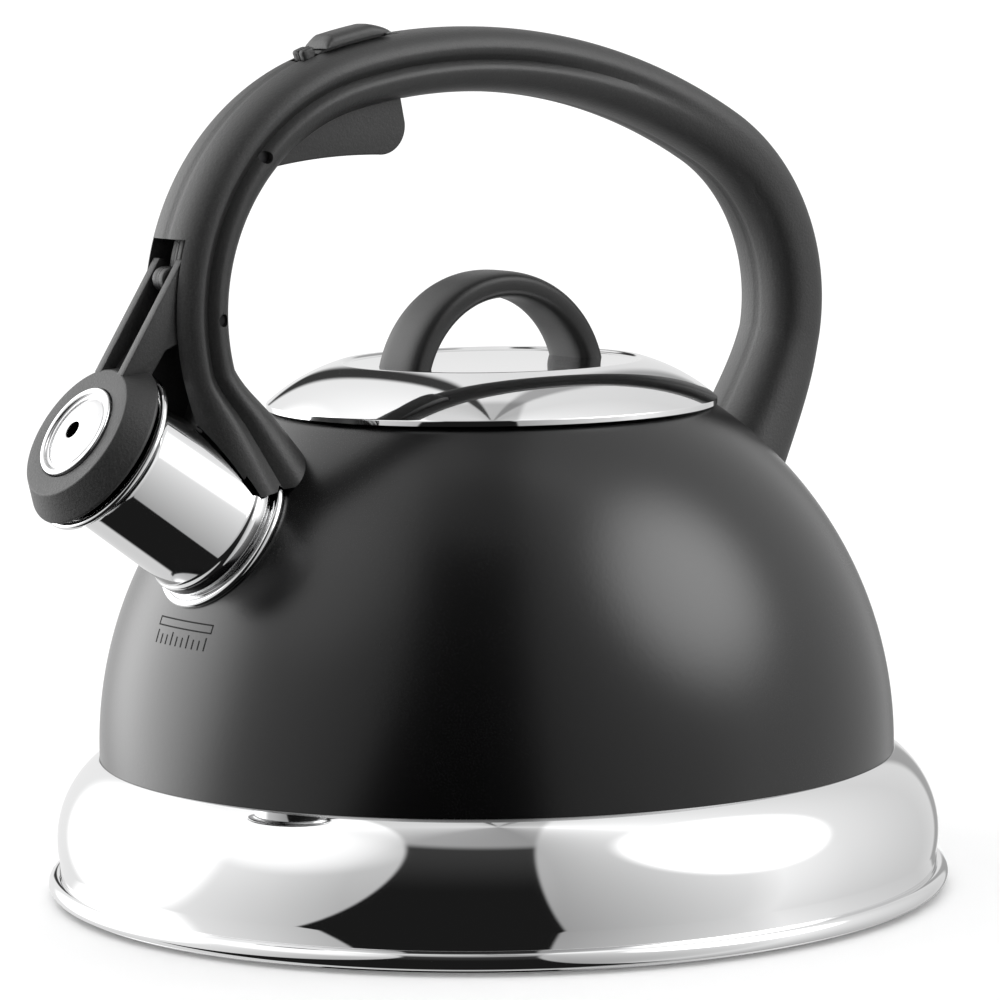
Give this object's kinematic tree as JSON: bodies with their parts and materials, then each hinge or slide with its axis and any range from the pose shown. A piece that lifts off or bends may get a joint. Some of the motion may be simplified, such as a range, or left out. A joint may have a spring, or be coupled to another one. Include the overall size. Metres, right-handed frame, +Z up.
{
  "type": "stovetop whistling kettle",
  "caption": "Domed stovetop kettle with a flared polished base, loop handle, finger trigger and a whistle cap that lifts off its slanted spout.",
  "frame": {"origin": "on the kettle's vertical axis, at the underside of the base that stands on the hob", "axes": "+Z up; the spout points to -X and the handle loop lies in the XZ plane; +Y completes a right-handed frame"},
  "size_m": [0.2355, 0.22, 0.2103],
  "materials": {
    "painted_black": "fine matt black paint on pressed steel",
    "polished_steel": "mirror polished stainless steel",
    "pan_steel": "satin stainless steel",
    "spreader_aluminium": "plain rolled aluminium",
    "black_plastic": "fine grained black nylon",
    "whistle_steel": "bright pressed steel with a soft satin centre",
    "seal_silicone": "black silicone",
    "fastener_steel": "plain steel"
  },
  "bodies": {
    "kettle_body": {"dome_shell": "painted_black", "skirt_band": "polished_steel", "base_pan": "pan_steel", "base_cover": "pan_steel", "heat_spreader": "spreader_aluminium", "mouth_collar": "polished_steel", "spout_tube": "polished_steel", "spout_flange": "polished_steel", "handle_left_half": "black_plastic", "handle_right_half": "black_plastic", "front_bracket": "pan_steel", "rear_bracket": "pan_steel", "handle_screws": "fastener_steel", "lever_pin": "fastener_steel", "trigger_pin": "fastener_steel"},
    "lid": {"lid_shell": "polished_steel", "lid_locating_ring": "pan_steel", "lid_knob": "black_plastic", "knob_screws": "fastener_steel"},
    "whistle_cap": {"cap_lever": "black_plastic", "cap_seal": "seal_silicone", "whistle_front_disc": "whistle_steel", "whistle_rear_disc": "whistle_steel", "link_pin": "fastener_steel", "lever_spring": "fastener_steel"},
    "thumb_link": {"pull_link": "black_plastic", "thumb_slide": "black_plastic"},
    "finger_trigger": {"trigger": "black_plastic"}
  },
  "joints": [
    {"name": "cap_lift", "type": "hinge", "parent": "kettle_body", "child": "whistle_cap", "pos_m": [-0.0825, 0, 0.14324], "axis": [0, 1, 0], "range_deg": [0, 28.6], "stiffness_Nm_per_rad": 0.02, "springref_deg": -20.05},
    {"name": "link_pull", "type": "hinge", "parent": "kettle_body", "child": "thumb_link", "pos_m": [-0.0305, 0, 0.14344], "axis": [0, 1, 0], "range_deg": [0, 2.62]},
    {"name": "trigger_squeeze", "type": "hinge", "parent": "kettle_body", "child": "finger_trigger", "pos_m": [-0.07, 0, 0.18034], "axis": [0, -1, 0], "range_deg": [0, 10.05]},
    {"name": "lid_lift", "type": "slide", "parent": "kettle_body", "child": "lid", "axis": [0, 0, 1], "range_m": [0, 0.03]}
  ],
  "couplings": [
    {"joint": "link_pull", "follows": "cap_lift", "ratio": 0.0912},
    {"joint": "trigger_squeeze", "follows": "cap_lift", "ratio": 0.35}
  ]
}
